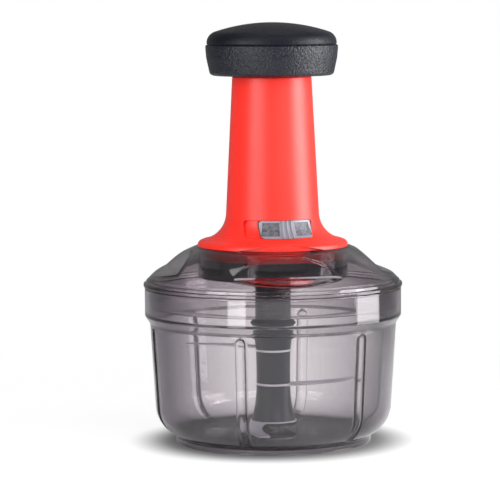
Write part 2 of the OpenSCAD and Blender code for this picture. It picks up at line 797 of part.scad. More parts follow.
module drive_socket() {
    color("darkslategray") {
        difference() {
            union() {
                translate([0, 0, socket_low_z]) cylinder(r = socket_r, h = socket_top_z - socket_low_z);
                translate([0, 0, socket_flange_z]) cylinder(r = socket_flange_r, h = socket_flange_t);
            }
            translate([0, 0, socket_low_z - eps]) cylinder(r = dog_r + 0.4, h = dog_h + 2, $fn = 6);
        }
        for (i = [0:tooth_count - 1]) rotate([0, 0, i * 360 / tooth_count])
            translate([0, 0, socket_top_z])
                saw_tooth([[-tooth_w / 2, -tooth_root], [tooth_w / 2, -tooth_root], [tooth_w / 2, tooth_h],
                           [-tooth_w / 2, 0]]);
    }
}

// ---- Lock ----

// Profile of the slider's plate between two offsets from the tower's face
function plate(low, high, inner, outer) = concat(
    [for (i = [0:arc_steps]) let (z = low + (high - low) * i / arc_steps) [tower_r(z) + inner, z]],
    [for (i = [arc_steps:-1:0]) let (z = low + (high - low) * i / arc_steps) [tower_r(z) + outer, z]]);

module lock_slider() {
    half_w = tower_r(catch_z) * sin(slider_half);
    low = slot_z + play;
    high = slot_z + slot_h - play;
    inner = play - slot_depth;
    pad_from = 9;
    pad_to = slider_half - 3.4;
    rib_gap = 5;
    pad_rim = 1.2;
    pad_sunk = 0.4;
    stem_out_r = tower_r(catch_z) - slot_depth / 2;
    color("gray") rotate([0, 0, lock_turn]) {
        difference() {
            intersection() {
                revolve(plate(low, high, inner, slider_proud));
                front_window(half_w, low, high - low, slot_corner - 0.2);
            }
            for (side = [-1, 1])
                sector(plate(low + pad_rim, high - pad_rim, slider_proud - pad_sunk, slider_proud + slot_depth),
                       min(side * pad_from, side * pad_to), max(side * pad_from, side * pad_to));
        }
        sector(plate(low, high, inner / 2, slider_proud + pad_sunk), -pad_from + 1.6, pad_from - 1.6);
        for (k = [-1:1])
            sector(plate(low, high, 0, slider_proud + rib_proud), k * rib_gap - 1, k * rib_gap + 1);
        sector([[chamber_r - play, catch_z - stem_h / 2], [stem_out_r, catch_z - stem_h / 2],
                [stem_out_r, catch_z + stem_h / 2], [chamber_r - play, catch_z + stem_h / 2]],
               -stem_half, stem_half);
    }
}

module lock_catch() {
    catch_in_r = tube_r + 0.8;
    color("gray") rotate([0, 0, lock_turn])
        sector([[catch_in_r, catch_z - catch_h / 2], [chamber_r - play, catch_z - catch_h / 2],
                [chamber_r - play, catch_z + catch_h / 2], [catch_in_r, catch_z + catch_h / 2]],
               -catch_half, catch_half);
}

// ---- Blades ----

module blade_sleeve() {
    color("silver") ring(sleeve_r, sleeve_in_r, column_low_z, sleeve_top_z - column_low_z);
}

// A length of the column's outline, as a solid with the sleeve's bore
module column_piece(low, high) {
    steps = 10;
    difference() {
        revolve(concat([[0, low]],
                       [for (i = [0:steps]) let (z = low + (high - low) * i / steps) [column_r(z), z]],
                       [[0, high]]));
        translate([0, 0, low - eps]) cylinder(r = column_in_r, h = min(high, sleeve_top_z + snug) - low + 2 * eps);
    }
}

module column_shoulder() {
    color("darkslategray") {
        column_piece(blade_upper_z + blade_t, sleeve_top_z);
        translate([0, 0, sleeve_top_z - eps]) cylinder(r1 = column_top_r, r2 = column_neck_r, h = shoulder_t + eps);
        translate([0, 0, column_z - eps]) cylinder(r = dog_r, h = dog_h, $fn = 6);
    }
}

module column_upper() {
    color("darkslategray") column_piece(blade_middle_z + blade_t, blade_upper_z);
}

module column_lower() {
    color("darkslategray") column_piece(blade_lower_z + blade_t, blade_middle_z);
}

module column_foot() {
    color("darkslategray") ring(column_foot_r, column_in_r, column_low_z, blade_lower_z - column_low_z);
}

// A sickle blade that reaches along +X. Its convex side, towards -Y, is the ground cutting edge.
module blade(z, reach, root_r) {
    edge_c = [0.21, 0.9] * reach;
    edge_r = norm(edge_c - [0, -root_r]);
    back_c = [0.33, 1.16] * reach;
    tip = [reach * 0.985, sqrt(1 - pow(0.985, 2)) * reach];
    back_r = norm(back_c - tip);
    color("silver") translate([0, 0, z]) difference() {
        linear_extrude(blade_t) difference() {
            union() {
                circle(r = root_r + ring_lip);
                intersection() {
                    translate(edge_c) circle(r = edge_r);
                    translate([0, -reach]) square([reach, 2 * reach]);
                    circle(r = reach);
                    difference() {
                        translate(back_c) circle(r = 3 * reach);
                        translate(back_c) circle(r = back_r);
                    }
                }
            }
            circle(r = column_in_r);
        }
        difference() {
            translate([edge_c.x, edge_c.y, 0])
                revolve([[edge_r - bevel_w, blade_t + eps], [edge_r, blade_t * 0.2], [edge_r + 1, blade_t * 0.2],
                         [edge_r + 1, blade_t + eps]]);
            translate([0, 0, -1]) cylinder(r = root_r + 2, h = 4);
        }
    }
}

module blade_upper() {
    rotate([0, 0, 130]) blade(blade_upper_z, blade_reach, column_r(blade_upper_z));
}

module blade_middle() {
    rotate([0, 0, 10]) blade(blade_middle_z, blade_reach, column_r(blade_middle_z));
}

module blade_lower() {
    rotate([0, 0, 250]) blade(blade_lower_z, lower_reach, column_foot_r);
}

bowl();
bowl_pin();
lid();
tower();
base_cover();
base_screws();
rod_bush();
knob_cap();
knob_body();
knob_screws();
plunger_tube();
drive_nut();
nut_ring();
return_spring();
drive_rod();
clutch_driver();
rod_clip();
drive_socket();
lock_slider();
lock_catch();
blade_sleeve();
column_shoulder();
column_upper();
column_lower();
column_foot();
blade_upper();
blade_middle();
blade_lower();
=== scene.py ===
# Plunger food chopper: a finer bowl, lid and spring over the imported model, its finishes and a pale studio.
import bpy
import math
import numpy as np
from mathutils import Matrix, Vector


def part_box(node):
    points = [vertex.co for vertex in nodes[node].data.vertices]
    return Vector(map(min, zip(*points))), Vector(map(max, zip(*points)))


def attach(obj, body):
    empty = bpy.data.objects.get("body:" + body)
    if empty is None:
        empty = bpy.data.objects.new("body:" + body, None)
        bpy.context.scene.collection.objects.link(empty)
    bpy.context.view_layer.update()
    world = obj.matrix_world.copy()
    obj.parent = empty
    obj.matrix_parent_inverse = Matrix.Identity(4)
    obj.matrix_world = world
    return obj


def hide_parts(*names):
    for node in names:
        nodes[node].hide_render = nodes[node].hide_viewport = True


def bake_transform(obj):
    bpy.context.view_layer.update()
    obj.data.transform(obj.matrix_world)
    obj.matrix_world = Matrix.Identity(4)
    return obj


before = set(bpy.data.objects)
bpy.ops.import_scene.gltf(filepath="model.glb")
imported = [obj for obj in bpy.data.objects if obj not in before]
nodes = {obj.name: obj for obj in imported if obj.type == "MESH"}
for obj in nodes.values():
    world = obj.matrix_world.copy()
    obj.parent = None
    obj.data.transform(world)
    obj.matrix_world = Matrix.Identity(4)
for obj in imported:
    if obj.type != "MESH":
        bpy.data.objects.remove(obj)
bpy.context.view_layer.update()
mm = 0.001   # the scene is in metres, the pieces' own sizes are in millimetres


def addObject(name, data):
    thing = bpy.data.objects.new(name, data)
    bpy.context.scene.collection.objects.link(thing)
    return thing


view = {
    "distance": 1.598,         # metres from the camera to its target, a point on the chopper's axis
    "targetZ": 0.1229,         # metres from the table up to the target
    "azimuth": -8.0,           # degrees round from the front, towards -X
    "elevation": 5.37,         # degrees above level
    "roll": 0.3,               # degrees
    "sensorWidth": 36,         # mm
    "photoSize": 500,          # pixels, both ways
    "pixelsPerMetre": 1640,    # scale of the photo at the target
    "targetPixel": (272.65, 240.0),   # the target's place in the photo, from its top left corner
}


def makeCamera():
    azimuth, elevation = math.radians(view["azimuth"]), math.radians(view["elevation"])
    distance, size = view["distance"], view["photoSize"]
    data = bpy.data.cameras.new("camera")
    data.sensor_width = view["sensorWidth"]
    data.lens = view["pixelsPerMetre"] * distance * view["sensorWidth"] / size
    data.shift_x = (size / 2 - view["targetPixel"][0]) / size
    data.shift_y = (view["targetPixel"][1] - size / 2) / size
    camera = addObject("camera", data)
    camera.location = (distance * math.sin(azimuth) * math.cos(elevation),
                       -distance * math.cos(azimuth) * math.cos(elevation),
                       view["targetZ"] + distance * math.sin(elevation))
    camera.rotation_euler = (math.pi / 2 - elevation, 0, azimuth)
    camera.rotation_euler.rotate_axis("Z", math.radians(-view["roll"]))
    bpy.context.scene.camera = camera


makeCamera()
bpy.context.scene.view_settings.view_transform = "Standard"
print("camera done")


# An sRGB hex code turned into linear values, channel by channel, with an alpha of 1
def linearColour(code):
    channels = [int(code[i:i + 2], 16) / 255 for i in (1, 3, 5)]
    return [c / 12.92 if c <= 0.04045 else ((c + 0.055) / 1.055) ** 2.4 for c in channels] + [1.0]


def newMaterial(name):
    material = bpy.data.materials.new(name)
    material.use_nodes = True
    material.node_tree.nodes.clear()
    return material, material.node_tree


# A node with its settings; each input is set to a value or joined to another node's output
def addNode(tree, kind, inputs=None, **settings):
    node = tree.nodes.new(kind)
    for name, value in settings.items():
        setattr(node, name, value)
    for name, value in (inputs or {}).items():
        if isinstance(value, bpy.types.NodeSocket):
            tree.links.new(value, node.inputs[name])
        else:
            node.inputs[name].default_value = value
    return node


def maths(tree, operation, *values):
    return addNode(tree, "ShaderNodeMath", dict(enumerate(values)), operation=operation).outputs[0]


# Carries a value from one range over to another, evenly or, where smooth, easing in and out
def ramp(tree, value, source, target=(0.0, 1.0), smooth=False):
    inputs = {"Value": value, "From Min": source[0], "From Max": source[1], "To Min": target[0],
              "To Max": target[1]}
    kind = "SMOOTHSTEP" if smooth else "LINEAR"
    return addNode(tree, "ShaderNodeMapRange", inputs, interpolation_type=kind).outputs["Result"]


def mixValues(tree, factor, first, second):
    inputs = {"Factor": factor, "A": first, "B": second}
    return addNode(tree, "ShaderNodeMix", inputs, data_type="FLOAT").outputs["Result"]


# The mix node has its colours on inputs 6 and 7 and on output 2
def mixColours(tree, factor, first, second, blend="MIX"):
    inputs = {"Factor": factor, 6: first, 7: second}
    return addNode(tree, "ShaderNodeMix", inputs, data_type="RGBA", blend_type=blend).outputs[2]


def mixShaders(tree, factor, first, second):
    return addNode(tree, "ShaderNodeMixShader", {0: factor, 1: first, 2: second}).outputs[0]


# Noise whose marks are about as large as given
def addNoise(tree, place, sizeMm, detail, distortion=0.0):
    inputs = {"Vector": place, "Scale": 1 / (sizeMm * mm), "Detail": detail, "Distortion": distortion}
    return addNode(tree, "ShaderNodeTexNoise", inputs).outputs["Fac"]


def addBump(tree, height, depthMm, strength=1.0):
    inputs = {"Height": height, "Distance": depthMm * mm, "Strength": strength}
    return addNode(tree, "ShaderNodeBump", inputs).outputs[0]


def finish(tree, surface, volume=None):
    output = addNode(tree, "ShaderNodeOutputMaterial", {"Surface": surface})
    if volume:
        tree.links.new(volume, output.inputs["Volume"])


# Levels are strengths of white light. Each span is of one axis of the direction looked in, and the level
# changes over it from the first number to the second.
studio = {
    "leftSide": 0.08,
    "rightSide": 0.50,
    "sideSpan": (-0.7, 0.7),       # x, from the left side's level to the right side's
    "front": 0.30,
    "frontSpan": (-0.5, -0.95),    # y, to the front's level
    "ceiling": 0.17,
    "ceilingSpan": (0.3, 0.8),     # z, to the ceiling's level
    "backWall": 1.0,               # the white wall behind the object
    "backGloss": 0.25,             # the same wall in glossy faces, as if it stood far off
    "wallSpan": (0.5, 0.85),       # y, to the wall's level
    "wallTopSpan": (0.55, 0.2),    # z, from nothing above the wall's top to all of it below
    "floorHalf": 3.0,              # metres
    "floorColour": "#E6E6E6",      # the paper as it lights the object
    "shadowColour": "#6E6E6E",     # the paper as it takes a shadow for the eye
    "floorGlow": 0.87,             # lifts that shaded paper to white
    "paintedShadeGlow": 0.06,             # painted shade: the same glow turned down under the bowl, where little light comes
    "paintedShadeReach": (0.06, 0.092),   # metres from the axis over which the one glow turns into the other
    "shadowReach": (0.16, 0.42),   # metres from the axis over which the paper turns to plain white
}


# The room's light by direction: white low down behind, dull above, darkest on the left
def makeWorld():
    world = bpy.data.worlds.new("studio")
    world.use_nodes = True
    bpy.context.scene.world = world
    tree = world.node_tree
    tree.nodes.clear()
    place = addNode(tree, "ShaderNodeTexCoord")
    split = addNode(tree, "ShaderNodeSeparateXYZ", {"Vector": place.outputs["Generated"]})
    x, y, z = (split.outputs[axis] for axis in "XYZ")
    path = addNode(tree, "ShaderNodeLightPath")
    level = ramp(tree, x, studio["sideSpan"], (studio["leftSide"], studio["rightSide"]), smooth=True)
    toFront = ramp(tree, y, studio["frontSpan"], smooth=True)
    level = mixValues(tree, toFront, level, studio["front"])
    toCeiling = ramp(tree, z, studio["ceilingSpan"], smooth=True)
    level = mixValues(tree, toCeiling, level, studio["ceiling"])
    wall = mixValues(tree, path.outputs["Is Glossy Ray"], studio["backWall"], studio["backGloss"])
    toWall = maths(tree, "MULTIPLY", ramp(tree, y, studio["wallSpan"], smooth=True),
                   ramp(tree, z, studio["wallTopSpan"], smooth=True))
    level = mixValues(tree, toWall, level, wall)
    level = mixValues(tree, path.outputs["Is Camera Ray"], level, 1.0)
    glow = addNode(tree, "ShaderNodeBackground", {"Color": linearColour("#FFFFFF"), "Strength": level})
    addNode(tree, "ShaderNodeOutputWorld", {"Surface": glow.outputs[0]})


# White paper: matt as it lights the object, and white with a soft shadow near the foot for the camera, with a
# painted shade under the bowl where its glow is turned down
def makeFloor():
    half = studio["floorHalf"]
    mesh = bpy.data.meshes.new("floor")
    corners = [(-half, -half, 0), (half, -half, 0), (half, half, 0), (-half, half, 0)]
    mesh.from_pydata(corners, [], [(0, 1, 2, 3)])
    floor = addObject("floor", mesh)
    material, tree = newMaterial("white studio paper")
    place = addNode(tree, "ShaderNodeTexCoord")
    length = addNode(tree, "ShaderNodeVectorMath", {0: place.outputs["Object"]}, operation="LENGTH")
    fromAxis = length.outputs["Value"]
    matt = addNode(tree, "ShaderNodeBsdfDiffuse", {"Color": linearColour(studio["floorColour"])})
    shaded = addNode(tree, "ShaderNodeBsdfDiffuse", {"Color": linearColour(studio["shadowColour"])})
    # Painted shade: the glow is turned down under the bowl, so the floor seen there looks darker
    glowLevel = ramp(tree, fromAxis, studio["paintedShadeReach"], (studio["paintedShadeGlow"], studio["floorGlow"]),
                     smooth=True)
    glow = addNode(tree, "ShaderNodeEmission", {"Strength": glowLevel})
    near = addNode(tree, "ShaderNodeAddShader", {0: shaded.outputs[0], 1: glow.outputs[0]})
    plain = addNode(tree, "ShaderNodeEmission", {"Strength": 1.0})
    far = ramp(tree, fromAxis, studio["shadowReach"], smooth=True)
    paper = mixShaders(tree, far, near.outputs[0], plain.outputs[0])
    path = addNode(tree, "ShaderNodeLightPath")
    lookedAt = maths(tree, "MAXIMUM", path.outputs["Is Camera Ray"], path.outputs["Is Transmission Ray"])
    finish(tree, mixShaders(tree, lookedAt, matt.outputs[0], paper))
    mesh.materials.append(material)


# Azimuth is in degrees round from the front, lengths are in metres, size is width and height, power is in
# watts. A lamp shines level, or at the axis at the height aimZ. inGloss False hides it in reflections.
lamps = {
    "leftBox": {"azimuth": -38, "height": 0.25, "distance": 0.45, "size": (0.12, 0.50), "power": 0.68},
    "rightBox": {"azimuth": 80, "height": 0.25, "distance": 0.45, "size": (0.22, 0.50), "power": 1.9},
    "leftHigh": {"azimuth": -57, "height": 0.33, "distance": 0.50, "size": (0.16, 0.40), "power": 1.1},
    "rightHigh": {"azimuth": 63, "height": 0.33, "distance": 0.50, "size": (0.22, 0.40), "power": 2.05},
    "frontFill": {"azimuth": 17, "height": 0.75, "distance": 1.2, "size": (0.9, 0.9), "power": 11.6,
                  "aimZ": 0.13, "inGloss": False},
    "overBox": {"azimuth": 172, "height": 1.25, "distance": 0.30, "size": (0.8, 0.22), "power": 1.2,
                "aimZ": 0.13},
    "frontStrip": {"azimuth": -8, "height": 1.0, "distance": 0.52, "size": (1.1, 0.05), "power": 1.6,
                   "aimZ": 0.13},
}


def makeLamp(name, box):
    azimuth = math.radians(box["azimuth"])
    data = bpy.data.lights.new(name, "AREA")
    data.shape = "RECTANGLE"
    data.size, data.size_y = box["size"]
    data.energy = box["power"]
    lamp = addObject(name, data)
    lamp.visible_camera = False
    lamp.visible_glossy = box.get("inGloss", True)
    lamp.location = (box["distance"] * math.sin(azimuth), -box["distance"] * math.cos(azimuth),
                     box["height"])
    aim = np.array([0, 0, box.get("aimZ", box["height"])]) - np.array(lamp.location)
    flat = math.hypot(aim[0], aim[1])
    lamp.rotation_euler = (math.atan2(flat, -aim[2]), 0, math.atan2(aim[1], aim[0]) - math.pi / 2)


makeWorld()
makeFloor()
for lampName, lampBox in lamps.items():
    makeLamp(lampName, lampBox)
print("studio done")


# Faces between the rows and columns of a grid of points in mm. The columns run round and join up, and the
# rows join up too, or else each end row is closed by a fan to its own middle. The sum of a . (b x c) over
# the triangles is six times the volume inside; where it is negative, all faces are turned to point outwards.
def gridPiece(name, grid, rowsJoin):
    rows, columns = grid.shape[:2]
    points = grid.reshape(-1, 3)
    i, j = np.meshgrid(np.arange(rows if rowsJoin else rows - 1), np.arange(columns), indexing="ij")
    i, j = i.ravel(), j.ravel()
    iNext, jNext = (i + 1) % rows, (j + 1) % columns
    quads = np.stack([i * columns + j, i * columns + jNext, iNext * columns + jNext, iNext * columns + j],
                     axis=1)
    fans = np.zeros((0, 3), int)
    if not rowsJoin:
        firstMiddle, lastMiddle = len(points), len(points) + 1
        points = np.vstack([points, grid[0].mean(axis=0), grid[-1].mean(axis=0)])
        c = np.arange(columns)
        cNext = (c + 1) % columns
        lastRow = (rows - 1) * columns
        fans = np.vstack([np.stack([np.full(columns, firstMiddle), cNext, c], axis=1),
                          np.stack([np.full(columns, lastMiddle), lastRow + c, lastRow + cNext], axis=1)])
    triangles = np.vstack([quads[:, [0, 1, 2]], quads[:, [0, 2, 3]], fans])
    a, b, c = (points[triangles[:, k]] for k in range(3))
    if np.einsum("ij,ij->i", a, np.cross(b, c)).sum() < 0:
        quads, fans = quads[:, ::-1], fans[:, ::-1]
    mesh = bpy.data.meshes.new(name)
    mesh.from_pydata((points * mm).tolist(), [], quads.tolist() + fans.tolist())
    mesh.shade_smooth()
    return addObject(name, mesh)


# A path through corners given as (r, z, rounding, step). Each corner between the ends becomes an arc that
# meets both of its sides, and the straight after a corner is divided into lengths no longer than its step.
def roundedPath(corners):
    nearlyStraight = math.pi - 0.02    # a corner this flat gets no arc
    arcStep = math.radians(13)
    fewestPoints = 4                   # on an arc
    place = np.array([corner[:2] for corner in corners], float)
    parts = [place[:1]]
    for k in range(1, len(corners) - 1):
        rounding = corners[k][2]
        back, onward = place[k - 1] - place[k], place[k + 1] - place[k]
        back, onward = back / np.linalg.norm(back), onward / np.linalg.norm(onward)
        between = math.acos(np.clip(back @ onward, -1, 1))
        if rounding == 0 or between > nearlyStraight:
            parts.append(place[k][None])
            continue
        middle = back + onward
        centre = place[k] + middle / np.linalg.norm(middle) * rounding / math.sin(between / 2)
        reach = rounding / math.tan(between / 2)
        a, b = place[k] + back * reach - centre, place[k] + onward * reach - centre
        sweep = math.pi - between
        t = np.linspace(0, 1, max(fewestPoints, int(sweep / arcStep)))[:, None]
        parts.append(centre + (np.sin((1 - t) * sweep) * a + np.sin(t * sweep) * b) / math.sin(sweep))
    parts.append(place[-1:])
    path = [parts[0]]
    for part, nextPart, corner in zip(parts, parts[1:], corners):
        straight = nextPart[0] - part[-1]
        count = max(1, math.ceil(np.linalg.norm(straight) / corner[3]))
        path += [part[-1] + straight * np.linspace(0, 1, count + 1)[1:-1, None], nextPart]
    return np.vstack(path)


def arcPoints(middle, radius, fromDegrees, toDegrees, count):
    a = np.radians(np.linspace(fromDegrees, toDegrees, count))
    return np.stack([middle[0] + radius * np.cos(a), middle[1] + radius * np.sin(a)], axis=1)


# 0 up to t = 0, 3 t^2 - 2 t^3 from there, and 1 from t = 1
def smoothStep(t):
    t = np.clip(t, 0, 1)
    return t * t * (3 - 2 * t)


# In mm and degrees: R is a radius, Z a height over the table, W a width, a round the radius of a rounded
# corner, and a step the most that two rows of points lie apart
bowl = {
    "collarR": 78.2, "collarInR": 75.8, "collarLowZ": 77.8, "rimZ": 95.2,
    "collarRound": 0.9, "rimRound": 0.7, "rimInRound": 0.5,
    "ledgeRise": 1.7, "ledgeRound": 0.7,     # the ledge inside is this far above the collar's lower edge
    "neckR": 75.1, "neckZ": 73.0, "neckRound": 4.5,
    "neckInRise": 1.5, "neckInRound": 4.0,   # the neck bends this much higher inside than outside
    "wall": 2.5, "lean": 3.4,
    "cornerR": 20.0, "cornerMid": (52.1, 23.1),   # the round corner between wall and floor
    "footR": 59.5, "footInR": 56.7,
    "footRounds": (0.6, 0.5, 0.7),           # at the underside, the inner edge and the outer edge
    "underZ": 3.0, "floorZ": 5.6,
    "bossR": 7.0, "bossZ": 9.0, "boreR": 2.55, "boreZ": 3.8,
    "bossRounds": (0.8, 0.6, 0.5),           # at the floor, the outer edge and the bore's edge
    "flutes": 6, "fluteTurn": 7.0, "fluteW": 6.4, "fluteTopZ": 71.6, "fluteDepth": 1.8, "flutePower": 0.75,
    "fluteStart": 0.2, "fluteFade": 2.4,     # from the foot's top up, and over what height a flute sinks in
    "ribDepth": 1.5, "ribPower": 2.0,
    "ribOver": 1.8,                          # a rib inside is this much wider than the flute outside
    "ribStartR": 46, "ribFade": 8,           # where the ribs rise from the floor, and over what length
    "footStep": 1.5, "underStep": 12, "floorStep": 5, "wallStep": 1.6, "bendStep": 0.8, "bossStep": 1,
    "fluteTopStep": 0.4, "fluteTopRows": 2.0,     # the closer rows start this far below a flute's round top
    "cornerRows": 30, "cornerInRows": 26,
    # Columns in mm from a flute's middle line, closest at its edge, and how many more lie between two flutes
    "fluteColumns": (0, 0.5, 1.0, 1.5, 2.0, 2.4, 2.7, 2.9, 3.05, 3.15, 3.25, 3.45, 3.8, 4.3, 5.0),
    "columnsBetween": 24,
    "spokeR": 48,                            # columns run straight to the axis inside this radius
    "poleR": 0.01,                           # the last row is a ring this small, closed by its fan
}


# The bowl's section, from its underside round the foot, up the outside, over the rim, down the inside and
# across the floor to the bore for the pin; also the height at which the round corner meets the foot
def bowlSection():
    b = bowl
    footAngle = math.degrees(math.acos((b["footR"] - b["cornerMid"][0]) / b["cornerR"]))
    corner = arcPoints(b["cornerMid"], b["cornerR"], -footAngle, -b["lean"], b["cornerRows"])
    cornerIn = arcPoints(b["cornerMid"], b["cornerR"] - b["wall"], -b["lean"], -90, b["cornerInRows"])
    footTop, wallStart = corner[0, 1], corner[-1]
    slope = (b["neckR"] - wallStart[0]) / (b["neckZ"] - wallStart[1])
    fluteRowZ = b["fluteTopZ"] - b["fluteW"] / 2 - b["fluteTopRows"]
    fluteRowR = b["neckR"] - slope * (b["neckZ"] - fluteRowZ)
    under = roundedPath([(0, b["underZ"], 0, b["underStep"]),
                         (b["footInR"], b["underZ"], b["footRounds"][0], b["footStep"]),
                         (b["footInR"], 0, b["footRounds"][1], b["footStep"]),
                         (b["footR"], 0, b["footRounds"][2], b["footStep"]),
                         (b["footR"], footTop, 0, b["footStep"])])
    wall = roundedPath([(*wallStart, 0, b["wallStep"]),
                        (fluteRowR, fluteRowZ, 0, b["fluteTopStep"]),
                        (b["neckR"], b["neckZ"], b["neckRound"], b["bendStep"]),
                        (b["collarR"], b["collarLowZ"], b["collarRound"], b["wallStep"]),
                        (b["collarR"], b["rimZ"], b["rimRound"], b["bendStep"]),
                        (b["collarInR"], b["rimZ"], b["rimInRound"], b["wallStep"]),
                        (b["collarInR"], b["collarLowZ"] + b["ledgeRise"], b["ledgeRound"], b["bendStep"]),
                        (b["neckR"] - b["wall"], b["neckZ"] + b["neckInRise"], b["neckInRound"],
                         b["fluteTopStep"]),
                        (fluteRowR - b["wall"], fluteRowZ, 0, b["wallStep"]),
                        (*cornerIn[0], 0, b["wallStep"])])
    floor = roundedPath([(b["cornerMid"][0], b["floorZ"], 0, b["floorStep"]),
                         (b["bossR"], b["floorZ"], b["bossRounds"][0], b["bossStep"]),
                         (b["bossR"], b["bossZ"], b["bossRounds"][1], b["bossStep"]),
                         (b["boreR"], b["bossZ"], b["bossRounds"][2], b["bossStep"]),
                         (b["boreR"], b["boreZ"], 0, b["bossStep"]),
                         (b["poleR"], b["boreZ"], 0, b["bossStep"])])
    return np.vstack([part[1:] for part in (under, corner, wall, cornerIn, floor)]), footTop


# The section is turned round the axis. Outside, it sinks into each flute by depth * (1 - u*u) ** flutePower,
# and inside, it swells into each rib by depth * (1 - u*u) ** ribPower, where u is the distance from the
# flute's middle line over half its width. Near the top the height counts into u as well, which rounds it.
def makeBowl():
    b = bowl
    section, footTop = bowlSection()
    r, z = section[:, :1], section[:, 1:]
    along = np.gradient(section, axis=0)
    along /= np.linalg.norm(along, axis=1)[:, None]
    outwardR, outwardZ = along[:, 1:], -along[:, :1]    # out of the plastic, on either side of the wall
    inside = np.arange(len(section))[:, None] > np.argmax(z)
    sink = -b["fluteDepth"] * smoothStep((z - footTop - b["fluteStart"]) / b["fluteFade"])
    swell = b["ribDepth"] * smoothStep((r - b["ribStartR"]) / b["ribFade"])
    depth = np.where(inside, swell, sink)
    power = np.where(inside, b["ribPower"], b["flutePower"])
    halfWidth = np.where(inside, b["fluteW"] + b["ribOver"], b["fluteW"]) / 2

    nearFlute = np.array(b["fluteColumns"])
    nearFlute = np.concatenate([-nearFlute[:0:-1], nearFlute])
    reach = np.maximum(r, b["spokeR"])
    turn = 2 * math.pi / b["flutes"]
    edgeAngle = np.arcsin(nearFlute[-1] / reach)
    share = np.linspace(0, 1, b["columnsBetween"] + 2)[1:-1]
    oneTurn = np.hstack([np.arcsin(nearFlute / reach), edgeAngle + (turn - 2 * edgeAngle) * share])
    angle = np.hstack([oneTurn + math.radians(b["fluteTurn"]) + k * turn for k in range(b["flutes"])])
    fromFlute = np.hstack([oneTurn - np.where(oneTurn > turn / 2, turn, 0)] * b["flutes"])

    across = r * np.sin(fromFlute) / halfWidth
    above = np.clip(z - (b["fluteTopZ"] - halfWidth), 0, None) / halfWidth
    push = depth * np.clip(1 - across ** 2 - above ** 2, 0, None) ** power
    radius, height = r + push * outwardR, z + push * outwardZ
    grid = np.stack([radius * np.cos(angle), radius * np.sin(angle), height], axis=2)
    piece = gridPiece("bowl_moulded", grid, False)
    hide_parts("bowl")
    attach(piece, "bowl")
    return piece


# In mm and degrees, named as the bowl's
lid = {
    "landInR": 43.2, "landR": 46.0, "landZ": 120.0,
    "midR": 65.6, "midZ": 109.4,               # a point of the dome between land and shoulder
    "shoulderR": 77.2, "shoulderZ": 98.8,
    "shoulderTop": (-0.1, 0.5),                # the corner over the flange, out and up from the shoulder
    "shoulderFoot": (0.15, 0.05),              # the corner below: out from the shoulder, up from the flange
    "flangeR": 78.9, "flangeTopZ": 97.4, "flangeZ": 95.4,
    "skirtR": 75.5, "skirtInR": 73.5, "skirtZ": 83.4,
    "tubeR": 45.6, "tubeZ": 100.7, "wall": 2.4,
    "facets": 4, "faceSlope": 47.0, "ledgeSlope": 16.5,
    "creaseN": 62.0, "creaseZ": 106.3,         # the crease between face and ledge, out from the axis and up
    "creaseRound": 0.55,
    "shoulderTopRound": 0.4, "shoulderFootRound": 0.5, "flangeRound": 0.6, "flangeLowRound": 0.4,
    "skirtTopRound": 0.3, "edgeRound": 0.5, "tubeTopRound": 0.3,
    "outGap": 0.5, "inGap": 0.4,               # left between the dome's rows and the corners at their ends
    "skirtDrop": 0.6, "tubeDrop": 0.8,         # from the dome's inner rows down to those corners
    "outRows": 104, "inRows": 56, "columns": 440, "bendStep": 1, "wallStep": 2.4,
}


# The smaller of two heights, rounded where they cross, over about the given length
def softMin(a, b, length):
    h = np.clip(0.5 + 0.5 * (b - a) / length, 0, 1)
    return b + (a - b) * h - length * h * (1 - h)


# The middle and radius of the circle through three points, by setting their squared distances equal
def circleThrough(a, b, c):
    centre = np.linalg.solve(2 * np.array([b - a, c - a]), np.array([b @ b - a @ a, c @ c - a @ a]))
    return centre, np.linalg.norm(a - centre)


# The dome's height at each distance r from the axis and each angle from a facet's middle. It is an arc, and
# each pressed facet takes from it all that lies above both a steep plane and a shallow one, so the height is
# softMin(arc, softMax(face, ledge)). With a wall over 0 it is the inside: all three are moved in by the wall.
def domeHeight(r, fromFacet, wall):
    d = lid
    centre, arcR = circleThrough(np.array([d["landR"], d["landZ"]]), np.array([d["midR"], d["midZ"]]),
                                 np.array([d["shoulderR"], d["shoulderZ"]]))
    face, ledge = math.radians(d["faceSlope"]), math.radians(d["ledgeSlope"])
    faceN = np.array([math.sin(face), math.cos(face)])
    ledgeN = np.array([math.sin(ledge), math.cos(ledge)])
    crease = np.array([d["creaseN"], d["creaseZ"]]) - wall * (faceN + ledgeN) / (1 + faceN @ ledgeN)
    n = r[:, None] * np.cos(fromFacet)[None]
    steep = crease[1] - (n - crease[0]) * math.tan(face)
    shallow = crease[1] - (n - crease[0]) * math.tan(ledge)
    arc = centre[1] + np.sqrt((arcR - wall) ** 2 - (r - centre[0]) ** 2)
    cut = -softMin(-steep, -shallow, d["creaseRound"])
    return softMin(np.broadcast_to(arc[:, None], cut.shape), cut, d["creaseRound"])


